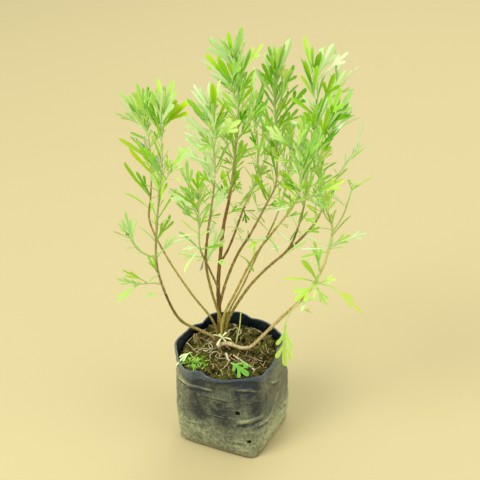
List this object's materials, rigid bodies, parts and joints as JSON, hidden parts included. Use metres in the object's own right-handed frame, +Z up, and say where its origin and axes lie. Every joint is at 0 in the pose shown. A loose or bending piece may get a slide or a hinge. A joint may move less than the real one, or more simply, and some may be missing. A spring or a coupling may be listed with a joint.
{
  "type": "potted lavender",
  "caption": "Young bushy lavender with many slender upright stems and narrow lobed grey-green leaves, standing in a soil-filled black polythene nursery bag.",
  "frame": {"origin": "middle of the bag's flat base, on the surface it stands on", "axes": "+Z up the plant; +Y away from the picture's viewer; +X to the viewer's right"},
  "size_m": [0.2754, 0.212, 0.4955],
  "materials": {
    "film": "black polythene film, dusty, with sagging creases",
    "soil": "damp dark potting soil with moss, crumbs and dry litter",
    "bark": "thin brown bark, fibrous and rough at the foot, tan and olive above",
    "leaf": "soft green leaf, finely downy, paler below",
    "silver_leaf": "silvery grey-green downy leaf",
    "young_leaf": "soft yellow-green young leaf, slightly glossy"
  },
  "bodies": {
    "root": {"grow_bag": "film", "soil": "soil", "woody_crown": "bark", "shoot_centre": "leaf", "shoot_left": "leaf", "shoot_left_back": "leaf", "shoot_front_left": "silver_leaf", "shoot_low_front_left": "leaf", "shoot_inner_back": "leaf", "shoot_centre_right": "leaf", "shoot_front_right": "leaf", "shoot_back_right": "leaf", "shoot_upper_right": "leaf", "shoot_outer_right": "silver_leaf", "shoot_far_right": "leaf", "young_shoot": "young_leaf", "hanging_leaf": "young_leaf", "fallen_leaf": "young_leaf", "weed_seedling": "young_leaf"}
  },
  "joints": []
}
